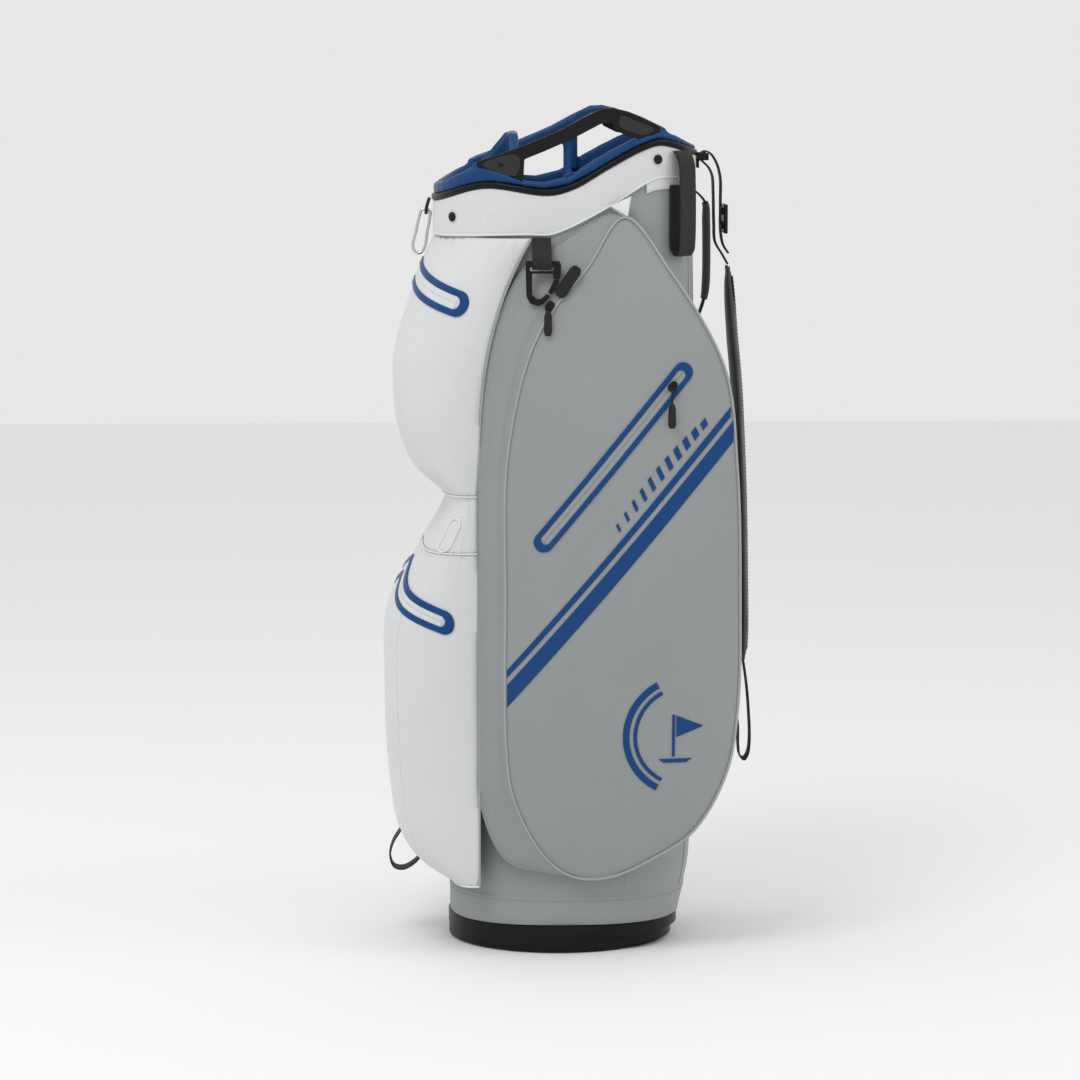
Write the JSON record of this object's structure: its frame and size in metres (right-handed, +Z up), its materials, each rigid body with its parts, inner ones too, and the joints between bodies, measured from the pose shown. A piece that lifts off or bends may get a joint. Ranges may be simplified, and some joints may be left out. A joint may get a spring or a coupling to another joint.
{
  "type": "golf cart bag",
  "caption": "Upright golf cart bag with a moulded divider top and lift handles, zipped pockets all round, a padded shoulder strap, towel ring and accessory clip.",
  "frame": {"origin": "centre of the tube axis at the foot's underside, on the floor", "axes": "+Z up along the tube towards the lift handles; -Y towards the front pockets; +Y towards the shoulder strap and spine; +X towards the side with the accessory clip"},
  "size_m": [0.3334, 0.3955, 0.8912],
  "materials": {
    "base_rubber": "satin black moulded rubber-like plastic",
    "lining": "dull dark woven nylon",
    "grey_cloth": "matt grey coated polyester",
    "white_cloth": "matt white coated polyester",
    "blue_moulding": "satin navy moulding",
    "blue_tape": "smooth welded navy film over zip tape",
    "black_plastic": "satin black plastic",
    "soft_rubber": "soft matt black rubber",
    "webbing": "ribbed black polyester webbing",
    "padded_cloth": "dark grey air mesh over foam",
    "steel_wire": "bright bent wire",
    "alloy": "plain drawn alloy"
  },
  "bodies": {
    "bag": {"handle_grip_right": "black_plastic", "rivet_front_right": "black_plastic", "rivet_rear_right": "black_plastic", "side_stay_right": "alloy", "side_pocket_right": "grey_cloth", "side_zip_right": "blue_tape", "zip_garage_right": "soft_rubber", "handle_grip_left": "black_plastic", "rivet_front_left": "black_plastic", "rivet_rear_left": "black_plastic", "side_stay_left": "alloy", "side_pocket_left": "grey_cloth", "side_zip_left": "blue_tape", "zip_garage_left": "soft_rubber", "foot_cup": "base_rubber", "base_pad": "lining", "tube_shell": "grey_cloth", "cuff": "white_cloth", "collar_gasket": "base_rubber", "divider_top": "blue_moulding", "cross_sheet_1": "lining", "cross_sheet_2": "lining", "cross_sheet_3": "lining", "cross_sheet_4": "lining", "long_sheet_1": "lining", "long_sheet_2": "lining", "back_sheet": "lining", "spine_stay": "alloy", "upper_front_pocket": "white_cloth", "waist_pocket": "white_cloth", "lower_ball_pocket": "white_cloth", "upper_zip": "blue_tape", "lower_zip": "blue_tape", "towel_tab": "webbing", "carry_handle": "padded_cloth", "strap_anchor_top": "black_plastic", "strap_anchor_low": "black_plastic", "base_loop": "webbing"},
    "towel_ring": {"towel_ring": "steel_wire"},
    "clip_tab": {"clip_tab": "webbing"},
    "clip_hook": {"clip_hook": "black_plastic"},
    "clip_gate": {"clip_gate": "black_plastic"},
    "grab_loop": {"grab_loop": "webbing"},
    "shoulder_strap": {"strap_upper": "webbing", "strap_buckle": "black_plastic", "strap_pad": "padded_cloth", "strap_lower": "webbing"},
    "side_slider_right": {"side_slider_right": "black_plastic"},
    "side_pull_right": {"side_pull_right": "soft_rubber"},
    "gusset_slider_right": {"gusset_slider_right": "black_plastic"},
    "gusset_pull_right": {"gusset_pull_right": "soft_rubber"},
    "side_slider_left": {"side_slider_left": "black_plastic"},
    "side_pull_left": {"side_pull_left": "soft_rubber"},
    "gusset_slider_left": {"gusset_slider_left": "black_plastic"},
    "gusset_pull_left": {"gusset_pull_left": "soft_rubber"},
    "upper_slider": {"upper_slider": "black_plastic"},
    "upper_pull": {"upper_pull": "soft_rubber"},
    "lower_slider": {"lower_slider": "black_plastic"},
    "lower_pull": {"lower_pull": "soft_rubber"}
  },
  "joints": [
    {"name": "towel_ring_swing", "type": "hinge", "parent": "bag", "child": "towel_ring", "pos_m": [0, -0.1415, 0.783], "axis": [0, 0.9797, -0.2004], "range_deg": [-60, 60]},
    {"name": "clip_tab_swing", "type": "hinge", "parent": "bag", "child": "clip_tab", "pos_m": [0.1215, -0.024, 0.7575], "axis": [0, -1, 0], "range_deg": [0, 80]},
    {"name": "clip_hook_swing", "type": "hinge", "parent": "clip_tab", "child": "clip_hook", "pos_m": [0.1395, -0.024, 0.731], "axis": [0, -1, 0], "range_deg": [0, 24]},
    {"name": "clip_gate_press", "type": "hinge", "parent": "clip_hook", "child": "clip_gate", "pos_m": [0.1395, -0.0108, 0.7159], "axis": [-1, 0, 0], "range_deg": [0, 22], "stiffness_Nm_per_rad": 0.01, "springref_deg": -11.46},
    {"name": "grab_loop_lift", "type": "hinge", "parent": "bag", "child": "grab_loop", "pos_m": [0.08158, 0.12328, 0.846], "axis": [0.7686, -0.6397, 0], "range_deg": [0, 75]},
    {"name": "shoulder_strap_sway", "type": "hinge", "parent": "bag", "child": "shoulder_strap", "pos_m": [0, 0.152, 0.27], "axis": [0, 0.0047, 1], "range_deg": [-4, 4]},
    {"name": "side_slider_right_run", "type": "hinge", "parent": "bag", "child": "side_slider_right", "pos_m": [-0.46049, 0.02394, 0.50171], "axis": [0, 0.7687, -0.6396], "range_deg": [0, 17.5]},
    {"name": "side_pull_right_swing", "type": "hinge", "parent": "side_slider_right", "child": "side_pull_right", "pos_m": [0.15974, 0.1097, 0.605], "axis": [1, 0, 0], "range_deg": [-30, 30]},
    {"name": "gusset_slider_right_run", "type": "slide", "parent": "bag", "child": "gusset_slider_right", "axis": [0.0499, -0.5494, -0.8341], "range_m": [0, 0.04]},
    {"name": "gusset_pull_right_swing", "type": "hinge", "parent": "gusset_slider_right", "child": "gusset_pull_right", "pos_m": [0.148, -0.018, 0.686], "axis": [1, 0, 0], "range_deg": [-35, 35]},
    {"name": "side_slider_left_run", "type": "hinge", "parent": "bag", "child": "side_slider_left", "pos_m": [0.46049, 0.02394, 0.50171], "axis": [0, -0.7687, 0.6396], "range_deg": [0, 17.5]},
    {"name": "side_pull_left_swing", "type": "hinge", "parent": "side_slider_left", "child": "side_pull_left", "pos_m": [-0.15974, 0.1097, 0.605], "axis": [1, 0, 0], "range_deg": [-30, 30]},
    {"name": "gusset_slider_left_run", "type": "slide", "parent": "bag", "child": "gusset_slider_left", "axis": [-0.0499, -0.5494, -0.8341], "range_m": [0, 0.04]},
    {"name": "gusset_pull_left_swing", "type": "hinge", "parent": "gusset_slider_left", "child": "gusset_pull_left", "pos_m": [-0.148, -0.018, 0.686], "axis": [1, 0, 0], "range_deg": [-35, 35]},
    {"name": "upper_slider_run", "type": "slide", "parent": "bag", "child": "upper_slider", "axis": [0.5439, -0.7822, 0.3037], "range_m": [0, 0.012]},
    {"name": "upper_pull_swing", "type": "hinge", "parent": "upper_slider", "child": "upper_pull", "pos_m": [-0.11964, -0.12194, 0.6878], "axis": [-1, 0, 0], "range_deg": [-10, 30]},
    {"name": "lower_slider_run", "type": "slide", "parent": "bag", "child": "lower_slider", "axis": [0.2609, -0.8902, 0.3735], "range_m": [0, 0.014]},
    {"name": "lower_pull_swing", "type": "hinge", "parent": "lower_slider", "child": "lower_pull", "pos_m": [-0.12718, -0.13694, 0.35506], "axis": [-1, 0, 0], "range_deg": [-30, 30]}
  ]
}
